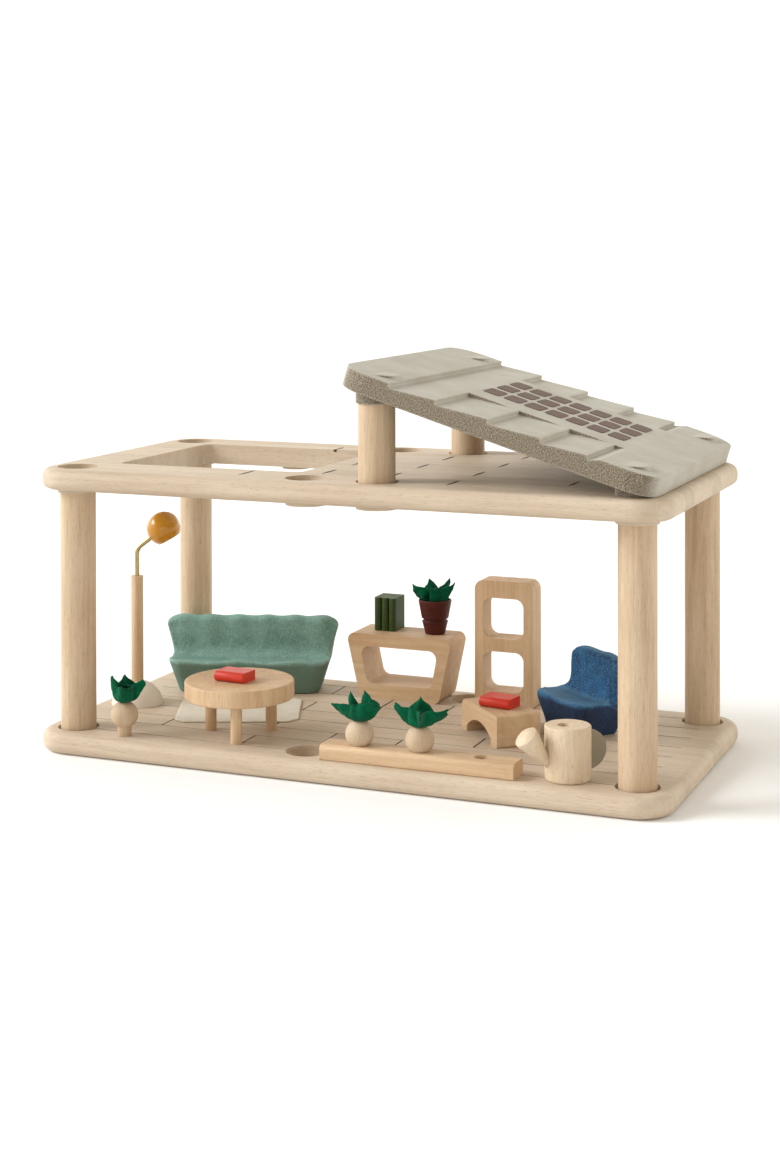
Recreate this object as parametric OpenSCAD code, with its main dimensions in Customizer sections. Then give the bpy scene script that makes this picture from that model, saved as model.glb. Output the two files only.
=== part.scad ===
// Two-storey wooden dollhouse with a solar roof and loose furniture.
// Millimetres, +X along the front edge, +Y to the rear, +Z up.
// The origin is at the bottom centre of the base deck.

/* [Decks] */
// Deck length along X
deck_l = 550; // [400:10:700]
// Deck depth along Y
deck_w = 274; // [200:2:350]
// Deck thickness
deck_t = 18; // [12:1:25]
// Radius of a deck corner seen from above
deck_r = 30; // [20:1:40]
// Rounding of the deck edges
edge_r = 7.5; // [2:0.5:9]
// Clear height between the two decks
storey = 204; // [150:1:260]

/* [Posts] */
// Post diameter
post_d = 30; // [20:1:36]
// Radial clearance of a post in its socket
post_gap = 0.05; // [0.02:0.01:0.3]
// Socket depth below a deck top
socket_deep = 8.4; // [6:0.2:12]
// Radius of the wide mouth of a socket
mouth_r = 17.5; // [16:0.1:20]
// Depth of the wide mouth
mouth_deep = 4; // [2:0.5:6]
// Radius of the collar under a deck
collar_r = 17; // [16:0.1:20]
// Height of the collar under a deck
collar_h = 3.5; // [2:0.5:6]
// Depth a post enters a deck from below
post_in = 5; // [3:0.5:8]
// X of the inner socket rows
inner_x = 31; // [20:1:60]

/* [Planks] */
// Pitch of the long grooves along Y
plank = 31.2; // [20:0.1:50]
// Half width of a groove at the surface
groove_w = 0.9; // [0.4:0.1:2]
// Depth of a groove
groove_d = 1.1; // [0.5:0.1:2]

/* [Upper deck cut-out] */
// Left end of the cut-out
cut_x0 = -223; // [-240:1:-150]
// Right end of the cut-out
cut_x1 = -50; // [-100:1:-20]
// Front edge of the cut-out
cut_y0 = -76; // [-100:1:-40]
// Rear edge of the cut-out
cut_y1 = 87; // [40:1:100]
// Corner radius of the cut-out
cut_r = 8; // [3:1:20]

/* [Roof] */
// Roof pitch in degrees
roof_a = 17.09; // [10:0.01:30]
// Roof length along its slope
roof_l = 271; // [200:0.1:320]
// Roof width along Y
roof_w = 274; // [200:1:274]
// Roof thickness
roof_t = 16.4; // [8:0.1:20]
// Roof corner radius
roof_r = 27; // [10:1:40]
// Height of one tile step
step_h = 3.8; // [1:0.1:6]
// Slope position of the upper end in the roof frame
roof_t0 = -89; // [-120:0.1:0]
// Distance of the roof underside from the origin along its normal
roof_n0 = 306.4; // [280:0.1:330]
// Radius of the four round pads on the roof
pad_r = 15; // [10:0.5:22]
// Pitch of a pad's top in degrees
pad_a = 6; // [0:0.5:17]
// X of the two upper pads
pad_x0 = 36; // [28:1:40]
// X of the two lower pads
pad_x1 = 241; // [220:1:245]
// Distance of a pad from the middle of the roof
pad_y = 110; // [80:1:112]

/* [Roof cells] */
// Columns of cells down the slope
cell_cols = 7; // [1:1:10]
// Rows of cells across the roof
cell_rows = 3; // [1:1:6]
// Cell size down the slope
cell_u = 14.6; // [8:0.1:30]
// Cell size across the roof
cell_v = 25; // [8:0.1:40]
// Thickness of a cell
cell_t = 0.5; // [0.2:0.1:2]

/* [Lamp] */
// Lamp position along X
lamp_x = -239.4; // [-250:0.1:-150]
// Lamp position along Y
lamp_y = -16.1; // [-60:0.1:60]
// Radius of the domed lamp base
lamp_base_r = 22.9; // [15:0.1:30]
// Height of the domed lamp base
lamp_base_h = 20.5; // [10:0.1:22]
// Lamp pole diameter
pole_d = 10.75; // [6:0.05:14]
// Radius of the lamp shade ball
shade_r = 15; // [10:0.5:20]

/* [Round table] */
// Table centre along X
table_x = -105.5; // [-150:0.1:-50]
// Table centre along Y
table_y = -80; // [-110:0.1:-50]
// Table top radius
table_r = 46; // [30:1:60]
// Table height
table_h = 46; // [30:1:60]
// Table top thickness
table_t = 14.3; // [6:0.1:20]
// Leg diameter
leg_d = 9.5; // [6:0.5:14]
// Leg circle radius
leg_r = 29.5; // [20:0.5:40]

/* [Books] */
// Length of a red book
book_l = 27.5; // [20:0.5:40]
// Width of a red book
book_w = 21; // [15:0.5:30]
// Thickness of a red book
book_t = 8.5; // [5:0.5:12]

/* [Watering can] */
// Can position along X
can_x = 189.5; // [150:0.5:215]
// Can position along Y
can_y = -106; // [-110:0.5:-60]
// Can radius
can_r = 18.1; // [12:0.1:24]
// Can height
can_h = 42; // [30:1:60]

/* [Planter and plants] */
// Length of the planter bar
planter_l = 163; // [100:1:200]
// Depth of the planter bar
planter_w = 24; // [18:1:30]
// Height of the planter bar
planter_h = 12.5; // [8:0.5:20]
// Spacing of the holes
hole_gap = 51.5; // [30:0.5:60]
// Peg radius of a plant
peg_r = 5.85; // [4:0.05:8]
// Hole radius in the planter
hole_r = 6; // [4:0.05:9]
// Radius of a plant ball
ball_r = 11.5; // [8:0.1:15]

/* [Hidden] */
$fn = 64;
top_z = deck_t;
upper_z = deck_t + storey;
upper_top = upper_z + deck_t;
socket_r = post_d / 2 + post_gap;
base_flare = 0.08;
corner_x = deck_l / 2 - deck_r;
corner_y = deck_w / 2 - deck_r;
post_top = upper_z + post_in;
post_z0 = top_z - socket_deep;
roof_post_z0 = upper_top - socket_deep;
roof_post_top = 311.5;
roof_boss_z = 302.8;
roof_boss_top = 317;
low_boss_z = upper_top - mouth_deep + 0.2;
low_boss_top = 249.5;
roof_n1 = roof_n0 + roof_t;
planter_x = 71;
planter_y = -116;
sofa_a = 18.5;
chair_a = -38.5;
side_a = 132.9;
wood = [0.86, 0.76, 0.62];
pale = [0.90, 0.82, 0.70];
composite = [0.72, 0.70, 0.64];
felt_green = [0.02, 0.36, 0.25];

// ---------- shared shapes ----------

// Convex outline with rounded corners, points anticlockwise, one radius per corner.
module round_poly(p, r) {
    n = len(p);
    function unit(a) = a / norm(a);
    function half(i) = (180 - acos(unit(p[(i + n - 1) % n] - p[i]) * unit(p[(i + 1) % n] - p[i]))) / 2;
    function back(i) = p[i] + unit(p[(i + n - 1) % n] - p[i]) * r[i] * tan(half(i));
    function ahead(i) = p[i] + unit(p[(i + 1) % n] - p[i]) * r[i] * tan(half(i));
    function mid(i) = unit(unit(p[(i + n - 1) % n] - p[i]) + unit(p[(i + 1) % n] - p[i]));
    polygon([for (i = [0:n - 1]) for (q = [back(i), ahead(i)]) q]);
    for (i = [0:n - 1]) {
        translate(p[i] + mid(i) * r[i] / cos(half(i))) circle(r = r[i]);
    }
}

module round_rect(x0, y0, x1, y1, r) {
    round_poly([[x0, y0], [x1, y0], [x1, y1], [x0, y1]], [r, r, r, r]);
}

// Upright cylinder between two heights.
module rod(x, y, z0, z1, r) {
    translate([x, y, z0]) cylinder(h = z1 - z0, r = r);
}

// Shape drawn in X and Z, extruded along +Y from y0 to y1.
module along_y(y0, y1) {
    translate([0, y1, 0]) rotate([90, 0, 0]) linear_extrude(height = y1 - y0) children();
}

// Disc whose rim is rounded, standing on z = 0.
module rim_disc(r, h, e) {
    rotate_extrude() {
        translate([0, e]) square([r, h - 2 * e]);
        square([r - e, h]);
        translate([r - e, e]) circle(r = e);
        translate([r - e, h - e]) circle(r = e);
    }
}

// Ball with a flat cut below, centre at the origin.
module cut_ball(r, below) {
    rotate_extrude() intersection() {
        circle(r = r);
        translate([0, -below]) square([r + 1, below + r + 1]);
    }
}

// ---------- decks and posts ----------

module deck_slab() {
    for (sx = [-1, 1], sy = [-1, 1]) {
        translate([sx * corner_x, sy * corner_y, 0]) rim_disc(deck_r, deck_t, edge_r);
    }
    translate([-corner_x, 0, 0]) rotate([90, 0, 90]) linear_extrude(height = 2 * corner_x) {
        round_rect(-deck_w / 2, 0, deck_w / 2, deck_t, edge_r);
    }
    along_y(-corner_y, corner_y) round_rect(-deck_l / 2, 0, deck_l / 2, deck_t, edge_r);
}

// Stepped socket in a deck top, its top face at z = 0; the close bore opens by flare on the way up.
module socket(flare) {
    translate([0, 0, -socket_deep]) cylinder(h = socket_deep + 1, r1 = socket_r, r2 = socket_r + flare);
    translate([0, 0, -mouth_deep]) cylinder(h = mouth_deep + 1, r = mouth_r);
}

module at_sockets() {
    for (x = [-corner_x, -inner_x, inner_x, corner_x], y = [-corner_y, corner_y]) {
        translate([x, y, 0]) children();
    }
}

// V groove along X, its centre on the deck top at z = 0.
module groove_x(len) {
    rotate([90, 0, 90]) linear_extrude(height = len, center = true) {
        polygon([[-groove_w, 0.2], [0, -groove_d], [groove_w, 0.2]]);
    }
}

// X of the plank ends in odd and even rows.
odd_ends = [-91, 91];
even_ends = [-181, -30, 29, 182];

// The long plank grooves and the staggered plank ends.
module planks() {
    for (k = [-3.5:1:3.5]) {
        translate([0, k * plank, 0]) groove_x(2 * corner_x + 8);
    }
    for (k = [-3:2:3], x = odd_ends) {
        translate([x, k * plank, 0]) rotate([0, 0, 90]) groove_x(plank);
    }
    for (k = [-2:2:2], x = even_ends) {
        translate([x, k * plank, 0]) rotate([0, 0, 90]) groove_x(plank);
    }
}

module base_deck() color(wood) difference() {
    deck_slab();
    translate([0, 0, top_z]) {
        at_sockets() socket(base_flare);
        planks();
    }
}

module corner_post(sx, sy) {
    color(pale) rod(sx * corner_x, sy * corner_y, post_z0, post_top, post_d / 2);
}

module post_front_left() corner_post(-1, -1);
module post_front_right() corner_post(1, -1);
module post_rear_left() corner_post(-1, 1);
module post_rear_right() corner_post(1, 1);

// Low round pad under the upper deck's rear rail.
rail_pad = [-138, 104];
rail_pad_r = 13;
rail_pad_h = 2.5;

module upper_deck() color(wood) difference() {
    union() {
        translate([0, 0, upper_z]) deck_slab();
        at_sockets() rod(0, 0, upper_z - collar_h, upper_z + 2, collar_r);
        rod(rail_pad[0], rail_pad[1], upper_z - rail_pad_h, upper_z + 2, rail_pad_r);
    }
    translate([0, 0, upper_top]) {
        at_sockets() socket(0);
        planks();
    }
    at_sockets() rod(0, 0, upper_z - collar_h - 1, post_top, socket_r);
    translate([0, 0, upper_z - 5]) linear_extrude(height = deck_t + 10) {
        round_rect(cut_x0, cut_y0, cut_x1, cut_y1, cut_r);
    }
}

module roof_post(sy) {
    color(pale) rod(inner_x, sy * corner_y, roof_post_z0, roof_post_top, post_d / 2);
}

module roof_post_front() roof_post(-1);
module roof_post_rear() roof_post(1);

// ---------- roof ----------

// Slope position of a step given its world X.
function slope_u(x) = (x - roof_n1 * sin(roof_a)) / cos(roof_a);

// World X of the five tile steps and of the head of the short ramp below them.
step_x = [53.4, 92, 135.1, 177.4, 214.1, 224];
step_u = [for (x = step_x) slope_u(x)];
tile_front = -60;
tile_rear = 77;
roof_u1 = roof_t0 + roof_l;
pad_back = 2;

// Upper outline of the side bands, with four tile steps and the small ramp.
module stepped_profile() {
    polygon([[roof_t0, roof_n0], [roof_u1, roof_n0], [roof_u1, roof_n1], [step_u[5], roof_n1],
        [step_u[4], roof_n1 - step_h], [step_u[4], roof_n1], [step_u[3], roof_n1 - step_h],
        [step_u[3], roof_n1], [step_u[2], roof_n1 - step_h], [step_u[2], roof_n1],
        [step_u[1], roof_n1 - step_h], [step_u[1], roof_n1], [step_u[0], roof_n1 - step_h],
        [step_u[0], roof_n1], [roof_t0, roof_n1]]);
}

// Upper outline of the middle band, with the first step only.
module plain_profile() {
    polygon([[roof_t0, roof_n0], [roof_u1, roof_n0], [roof_u1, roof_n1], [step_u[1], roof_n1],
        [step_u[0], roof_n1 - step_h], [step_u[0], roof_n1], [roof_t0, roof_n1]]);
}

module roof_slab() rotate([0, roof_a, 0]) intersection() {
    union() {
        along_y(-roof_w / 2, tile_front) stepped_profile();
        along_y(tile_front, tile_rear) plain_profile();
        along_y(tile_rear, roof_w / 2) stepped_profile();
    }
    translate([0, 0, roof_n0 - 1]) linear_extrude(height = roof_t + 2) {
        round_rect(roof_t0, -roof_w / 2, roof_u1, roof_w / 2, roof_r);
    }
}

// Height of the roof's top surface at a world X.
function roof_z(x) = (roof_n1 - x * sin(roof_a)) / cos(roof_a);

// Round pad, flush uphill and standing proud of the roof downhill.
module roof_pad(x, y) intersection() {
    rod(x, y, roof_z(x) - 10, roof_z(x) + 10, pad_r);
    translate([x - pad_back, y, roof_z(x - pad_back)]) rotate([0, pad_a, 0]) {
        translate([-40, -40, -40]) cube([80, 80, 40]);
    }
}

module roof_panel() color(composite) difference() {
    union() {
        roof_slab();
        for (x = [pad_x0, pad_x1], y = [-pad_y, pad_y]) {
            roof_pad(x, y);
        }
        for (y = [-corner_y, corner_y]) {
            rod(inner_x, y, roof_boss_z, roof_boss_top, collar_r);
            rod(corner_x, y, low_boss_z, low_boss_top, collar_r);
        }
    }
    for (y = [-corner_y, corner_y]) {
        rod(inner_x, y, roof_boss_z - 1, roof_post_top, socket_r);
    }
    difference() {
        translate([corner_x - 95, -deck_w, upper_top - 20]) cube([150, 2 * deck_w, 20]);
        for (y = [-corner_y, corner_y]) {
            rod(corner_x, y, upper_top - 21, upper_top + 1, collar_r);
        }
    }
}

cell_u0 = -0.5;
cell_v0 = -33;
cell_step_u = 18.4;
cell_step_v = 33.8;
cell_r = 3;

module roof_cells() color([0.40, 0.30, 0.27]) rotate([0, roof_a, 0]) {
    for (i = [0:cell_cols - 1], j = [0:cell_rows - 1]) {
        translate([cell_u0 + i * cell_step_u, cell_v0 + j * cell_step_v, roof_n1]) {
            linear_extrude(height = cell_t) round_rect(0, 0, cell_u, cell_v, cell_r);
        }
    }
}

// ---------- lamp ----------

lamp_turn = 22.2;
bend_r = 9;
bend_tilt = 37;
bend_turn = 90 - bend_tilt;
bend_z = 156.5;
bend_cut = bend_r * tan(bend_turn / 2);
shade_reach = 23.8;
shade_z = bend_z + shade_reach * tan(bend_tilt);
arm_end = shade_reach / cos(bend_tilt) - shade_r + 6;
rod_r = 2;
bead_r = 2.06;
bead_gap = 0.1;
bead_turn = asin(bead_gap / bend_r);
pole_top = 131.9;
pole_z = top_z + 10;
rod_z = pole_top - 12;
shade_tilt = -29;
shade_cut = 10.8;

module at_lamp() {
    translate([lamp_x, lamp_y, 0]) rotate([0, 0, lamp_turn]) children();
}

module lamp_base() color(pale) at_lamp() difference() {
    ball = (lamp_base_r * lamp_base_r + lamp_base_h * lamp_base_h) / (2 * lamp_base_h);
    translate([0, 0, top_z + lamp_base_h - ball]) cut_ball(ball, lamp_base_h - ball);
    rod(0, 0, pole_z, pole_z + 20, pole_d / 2);
}

module lamp_pole() color(wood) at_lamp() difference() {
    rod(0, 0, pole_z, pole_top, pole_d / 2);
    rod(0, 0, rod_z, pole_top + 1, rod_r);
}

// The rod's three stretches end inside two slightly fatter beads, a hair apart.
module lamp_arm() color([0.72, 0.62, 0.38]) at_lamp() {
    rod(0, 0, rod_z, bend_z - bend_cut - bead_gap, rod_r);
    translate([0, 0, bend_z - bend_cut]) sphere(r = bead_r);
    translate([bend_r, 0, bend_z - bend_cut]) rotate([90, 0, 0]) {
        rotate([0, 0, 180 - bend_turn + bead_turn]) {
            rotate_extrude(angle = bend_turn - 2 * bead_turn) translate([bend_r, 0]) circle(r = rod_r);
        }
    }
    translate([0, 0, bend_z]) rotate([0, bend_turn, 0]) {
        rod(0, 0, bend_cut + bead_gap, arm_end, rod_r);
        translate([0, 0, bend_cut]) sphere(r = bead_r);
    }
}

module lamp_shade() color([0.86, 0.62, 0.10]) at_lamp() difference() {
    translate([shade_reach, 0, shade_z]) rotate([0, shade_tilt, 0]) cut_ball(shade_r, shade_cut);
    translate([0, 0, bend_z]) rotate([0, bend_turn, 0]) rod(0, 0, bend_cut + 3, arm_end, rod_r);
}

// ---------- soft-looking moulded seats ----------

// One moulded seat, front lip at y = 0, standing on z = 0.
// base, lip, waist and crown are half widths; lip_z is the seat height.
module moulded_seat(base, lip, waist, crown, lip_z, crown_z) {
    hull() {
        for (sx = [-1, 1]) {
            translate([sx * (base - 12), 17, 0]) cylinder(h = 1, r = 12);
            translate([sx * (base - 12), 34, 0]) cylinder(h = 1, r = 12);
            translate([sx * (lip - 13), 13, lip_z - 4]) cylinder(h = 2, r = 13);
            translate([sx * (lip - 13), 40, lip_z - 4]) cylinder(h = 2, r = 13);
            translate([sx * (lip - 14), 14, lip_z]) cylinder(h = 1, r = 12);
            translate([sx * (lip - 14), 39, lip_z]) cylinder(h = 1, r = 12);
        }
    }
    hull() {
        for (sx = [-1, 1]) {
            translate([sx * (base - 9), 43, 0]) cylinder(h = 2, r = 4);
            translate([sx * (waist - 9), 44.5, lip_z - 4]) cylinder(h = 4, r = 9);
            translate([sx * (crown - 7), 43.5, crown_z - 8]) cylinder(h = 2, r = 7);
            translate([sx * (crown - 9), 43.5, crown_z - 1]) cylinder(h = 1, r = 4.5);
        }
    }
}

sofa_at = [-160.8, 45.6, top_z];
chair_at = [138.6, 21.1, top_z];

module sofa() color([0.43, 0.58, 0.53]) translate(sofa_at) rotate([0, 0, sofa_a]) {
    moulded_seat(63.5, 73, 72, 79, 30, 63.5);
}

module armchair() color([0.14, 0.29, 0.46]) translate(chair_at) rotate([0, 0, chair_a]) {
    moulded_seat(27, 34.5, 29, 28.5, 29.5, 64);
}

rug_at = [-141.5, -8.1, top_z];
rug_t = 1.5;
rug_x = 107 / 2;
rug_y = 85 / 2;
rug_cut = 9;

// Rectangle of felt with its corners cut off.
module rug() color([0.82, 0.79, 0.72]) translate(rug_at) rotate([0, 0, lamp_turn]) {
    linear_extrude(height = rug_t) polygon([
        [rug_cut - rug_x, -rug_y], [rug_x - rug_cut, -rug_y], [rug_x, rug_cut - rug_y], [rug_x, rug_y - rug_cut],
        [rug_x - rug_cut, rug_y], [rug_cut - rug_x, rug_y], [-rug_x, rug_y - rug_cut], [-rug_x, rug_cut - rug_y]]);
}

// ---------- round table and books ----------

leg_in = 8;
leg_a = 51.3;
table_top_z = top_z + table_h;
table_under_z = table_top_z - table_t;

module at_leg(k) {
    translate([table_x, table_y, 0]) rotate([0, 0, leg_a + 120 * k]) translate([leg_r, 0, 0]) children();
}

module table_top() color(wood) difference() {
    translate([table_x, table_y, table_under_z]) rim_disc(table_r, table_t, 1.5);
    for (k = [0:2]) {
        at_leg(k) rod(0, 0, table_under_z - 1, table_under_z + leg_in, leg_d / 2);
    }
}

module table_leg(k) {
    color(wood) at_leg(k) rod(0, 0, top_z, table_under_z + leg_in, leg_d / 2);
}

module table_leg_1() table_leg(0);
module table_leg_2() table_leg(1);
module table_leg_3() table_leg(2);

// Wooden book lying flat, its round spine at the front.
module red_book() {
    color([0.80, 0.22, 0.17]) rotate([90, 0, 90]) linear_extrude(height = book_l, center = true) {
        translate([book_t / 2 - book_w / 2, 0]) square([book_w - book_t / 2, book_t]);
        translate([book_t / 2 - book_w / 2, book_t / 2]) circle(r = book_t / 2);
    }
}

module book_on_round_table() translate([-107.5, -85, table_top_z]) rotate([0, 0, -5]) red_book();

// ---------- side table ----------

side_l = 74;
side_w = 39;
side_h = 26.3;
arch_x = 12.5;
arch_l = 50;
arch_r = 39.5;
arch_z = -25.5;
side_at = [110.5, -44.7, top_z];

module side_table() color(wood) translate(side_at) rotate([0, 0, side_a]) {
    along_y(-side_w, 0) difference() {
        round_poly([[0, 0], [side_l, 0], [side_l, side_h], [0, side_h]], [1.5, 1.5, 9, 2]);
        translate([arch_x, -30]) square([arch_l, 33]);
        intersection() {
            translate([arch_x + arch_l / 2, arch_z]) circle(r = arch_r);
            translate([arch_x, -1]) square([arch_l, 20]);
        }
    }
}

module book_on_side_table() translate([101, -10.5, top_z + side_h]) rotate([0, 0, -10]) red_book();

// ---------- console ----------

console_y0 = 77;
console_y1 = 119;
console_h = 58;

module soft_corners(r) {
    offset(r = r) offset(delta = -r) children();
}

module console() color(wood) translate([0, 0, top_z]) along_y(console_y0, console_y1) difference() {
    soft_corners(6.5) polygon([[-62.5, 0], [13.5, 0], [25.8, console_h], [-76, console_h]]);
    soft_corners(7.5) polygon([[-55.5, 13.3], [6.5, 13.3], [12.7, 46.8], [-62.7, 46.8]]);
}

books_l = 21;
books_w = 24;
books_h = 30;
books_at = [-55.8, 93, top_z + console_h];

module green_books() color([0.30, 0.40, 0.20]) translate(books_at) {
    spine = books_l / 6;
    linear_extrude(height = books_h) {
        for (k = [0:2]) {
            translate([spine * (2 * k + 1), spine]) circle(r = spine - 0.1);
            translate([spine * 2 * k + 0.1, spine]) square([2 * spine - 0.2, 3]);
        }
        translate([0.1, spine + 0.6]) square([books_l - 0.2, books_w - spine - 0.6]);
    }
}

pot_x = 1.2;
pot_y = 101.3;
pot_z = top_z + console_h;

module flower_pot() color([0.37, 0.16, 0.12]) translate([pot_x, pot_y, pot_z]) rotate_extrude() {
    difference() {
        polygon([[0, 0], [8.8, 0], [11.7, 12.2], [11, 13.2], [11.7, 14.6], [15.1, 30], [14.2, 31],
            [12.6, 31], [11, 22], [0, 21]]);
        square([2.5, 30]);
    }
    square([2.5, 14]);
}

// ---------- felt leaves ----------

// Folded felt leaves on a short stem; each entry is [azimuth, elevation, length, width].
module felt_leaves(set, stem) {
    color(felt_green) {
        translate([0, 0, -stem]) cylinder(h = stem + 4, r = 2.5);
        for (q = set) {
            rotate([0, -q[1], q[0]]) translate([0, 0, -0.75]) linear_extrude(height = 1.5) {
                polygon([[-1.5, -q[3] / 4], [q[2] * 0.45, -q[3] / 2], [q[2], 0],
                    [q[2] * 0.45, q[3] / 2], [-1.5, q[3] / 4]]);
            }
        }
    }
}

module pot_leaves() translate([pot_x, pot_y, pot_z + 24]) {
    felt_leaves([[203, 42, 27, 15], [115, 60, 25, 15], [30, 52, 27, 15], [335, 50, 27, 15]], 8);
}

// ---------- bookshelf ----------

shelf_h = 111.5;
shelf_x = [43.5, 97.7];
shelf_y = [89.5, 113];
shelf_open_x = [51, 89];
shelf_open_low = [13.5, 48.8];
shelf_open_high = [60.5, 96.3];
shelf_r = 8;

module bookshelf() color(wood) translate([0, 0, top_z]) along_y(shelf_y[0], shelf_y[1]) difference() {
    round_poly([[shelf_x[0], 0], [shelf_x[1], 0], [shelf_x[1], shelf_h], [shelf_x[0], shelf_h]],
        [2, 2, shelf_r, shelf_r]);
    for (z = [shelf_open_low, shelf_open_high]) {
        round_rect(shelf_open_x[0], z[0], shelf_open_x[1], z[1], shelf_r);
    }
}

// ---------- watering can ----------

spout_a = 222.2;
spout_tilt = 50;
axis_z = -6.6;
plug_r = 3.2;
plug_from = 21;
plug_to = 34;
can_hole_r = 5.9;
can_hole_deep = 24;
handle_r = 15.5;
handle_t = 2;
slot_z = 6;
slot_h = 31;

module at_can() {
    translate([can_x, can_y, top_z]) rotate([0, 0, spout_a]) children();
}

// The spout axis starts on the can axis and runs outwards along local +Z.
module at_spout() {
    at_can() translate([0, 0, axis_z]) rotate([0, 90 - spout_tilt, 0]) children();
}

module can_body() color(pale) difference() {
    translate([can_x, can_y, top_z]) rim_disc(can_r, can_h, 1.5);
    at_can() rod(2.8, 0, can_h - can_hole_deep, can_h + 1, can_hole_r);
    at_spout() rod(0, 0, plug_from, 60, plug_r);
    at_can() translate([-can_r - 2, -handle_t / 2, slot_z]) cube([8, handle_t, slot_h]);
}

module can_spout() color(pale) union() {
    at_spout() rod(0, 0, plug_from, plug_to, plug_r);
    difference() {
        at_spout() rotate_extrude() {
            polygon([[0, 27], [3.7, 27], [9.7, 53], [9.7, 55], [0, 55]]);
            intersection() {
                translate([0, 44.5]) circle(r = 14.3);
                translate([0, 54]) square([9.7, 6]);
            }
        }
        rod(can_x, can_y, top_z - 1, top_z + 90, can_r);
    }
}

module can_handle() color([0.55, 0.52, 0.44]) at_can() {
    intersection() {
        translate([-17, handle_t / 2, slot_z + slot_h / 2]) rotate([90, 0, 0]) {
            cylinder(h = handle_t, r = handle_r);
        }
        translate([-40, -handle_t / 2, slot_z]) cube([40 - can_r + 6, handle_t, slot_h]);
    }
}

// ---------- planter and plants ----------

module planter() color(wood) difference() {
    translate([planter_x - planter_l / 2, 0, top_z]) rotate([90, 0, 90]) {
        linear_extrude(height = planter_l) {
            round_poly([[planter_y - planter_w / 2, 0], [planter_y + planter_w / 2, 0],
                [planter_y + planter_w / 2, planter_h], [planter_y - planter_w / 2, planter_h]],
                [1, 1, 4, 4]);
        }
    }
    for (k = [-1:1]) {
        rod(planter_x + k * hole_gap, planter_y, top_z + 3, top_z + 40, hole_r);
    }
}

// Turned plant ball with its peg below; the flat under the ball is at z = 0.
module plant() {
    color(pale) difference() {
        union() {
            translate([0, 0, ball_flat]) cut_ball(ball_r, ball_flat);
            translate([0, 0, -peg_l]) cylinder(h = peg_l + 1, r = peg_r);
        }
        translate([0, 0, 14]) cylinder(h = 10, r = 2.5);
    }
}

module at_plant(x, y, z) {
    translate([x, y, z]) children();
}

planter_top = top_z + planter_h;
loose_x = -193.2;
loose_y = -119.5;
leaf_z = 21.6;
loose_z = top_z + 9;
ball_flat = 8.6;
peg_l = 9;

module plant_1() at_plant(planter_x - hole_gap, planter_y, planter_top) plant();
module plant_2() at_plant(planter_x, planter_y, planter_top) plant();
module loose_plant() at_plant(loose_x, loose_y, loose_z) plant();

module plant_1_leaves() at_plant(planter_x - hole_gap, planter_y, planter_top + leaf_z) {
    felt_leaves([[192, 30, 27, 14], [142, 47, 25, 13], [94, 51, 25, 14], [331, 41, 26, 16]], 6);
}

module plant_2_leaves() at_plant(planter_x, planter_y, planter_top + leaf_z) {
    felt_leaves([[205, 48, 27, 14], [104, 52, 27, 16], [16, 28, 27, 14], [285, 46, 25, 15]], 6);
}

module loose_plant_leaves() at_plant(loose_x, loose_y, loose_z + leaf_z) {
    felt_leaves([[200, 58, 25, 12], [118, 62, 25, 12], [14, 46, 25, 15], [255, 20, 15, 14]], 6);
}

base_deck();
post_front_left();
post_front_right();
post_rear_left();
post_rear_right();
upper_deck();
roof_post_front();
roof_post_rear();
roof_panel();
roof_cells();
lamp_base();
lamp_pole();
lamp_arm();
lamp_shade();
rug();
sofa();
table_top();
table_leg_1();
table_leg_2();
table_leg_3();
book_on_round_table();
side_table();
book_on_side_table();
console();
green_books();
flower_pot();
pot_leaves();
bookshelf();
armchair();
can_body();
can_spout();
can_handle();
planter();
plant_1();
plant_1_leaves();
plant_2();
plant_2_leaves();
loose_plant();
loose_plant_leaves();
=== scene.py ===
"""The looks of a two-storey wooden dollhouse with a composite roof and loose furniture."""

import math

import bpy
import numpy as np
from mathutils import Matrix, Vector, noise


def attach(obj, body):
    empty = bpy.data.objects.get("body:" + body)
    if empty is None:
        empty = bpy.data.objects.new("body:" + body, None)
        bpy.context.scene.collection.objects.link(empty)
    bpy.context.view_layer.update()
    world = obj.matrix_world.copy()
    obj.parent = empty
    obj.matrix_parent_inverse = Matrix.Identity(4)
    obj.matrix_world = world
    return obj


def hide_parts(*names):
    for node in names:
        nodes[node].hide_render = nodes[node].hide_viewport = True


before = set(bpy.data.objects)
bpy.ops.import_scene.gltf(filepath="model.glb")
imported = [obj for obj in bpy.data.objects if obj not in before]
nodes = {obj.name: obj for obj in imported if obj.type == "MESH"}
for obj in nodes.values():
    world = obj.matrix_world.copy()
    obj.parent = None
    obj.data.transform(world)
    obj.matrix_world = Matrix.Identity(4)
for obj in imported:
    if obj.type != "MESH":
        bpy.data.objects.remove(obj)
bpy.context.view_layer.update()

# sizes are in millimetres and angles in degrees, in the CAD frame
MM = 0.001
ROOF_PITCH = 17.09
BASE_TOP, UPPER_TOP = 18, 240
PLANK_W, PLANKS_HALF = 31.2, 109.2  # width of one plank, and half the width of them all
ODD_ENDS = (-91, 91)  # where two planks of an odd row meet end to end
EVEN_ENDS = (-181, -30, 29, 182)
GROOVE_DEEP, GROOVE_HALF = 0.65, 0.6  # depth of the middle of a groove's wall, and half its height
SLOT_HALF_X, SLOT_HALF_Y, SLOT_DEEP = 1.6, 9.5, 2.0  # the slots between plank ends of the upper deck, painted dark as their shade
SLOTS_HALF = 105  # no slot lies further from the deck's middle line
LAMP_AT, RUG_AT, POT_AT = (-239.4, -16.1, 0), (-141.5, -8.1, 18), (1.2, 101.3, 76)
LAMP_TURN = 22.2  # of the lamp's arm, and of the rug too

# ---------------------------------------------------------------- camera and light

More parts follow.
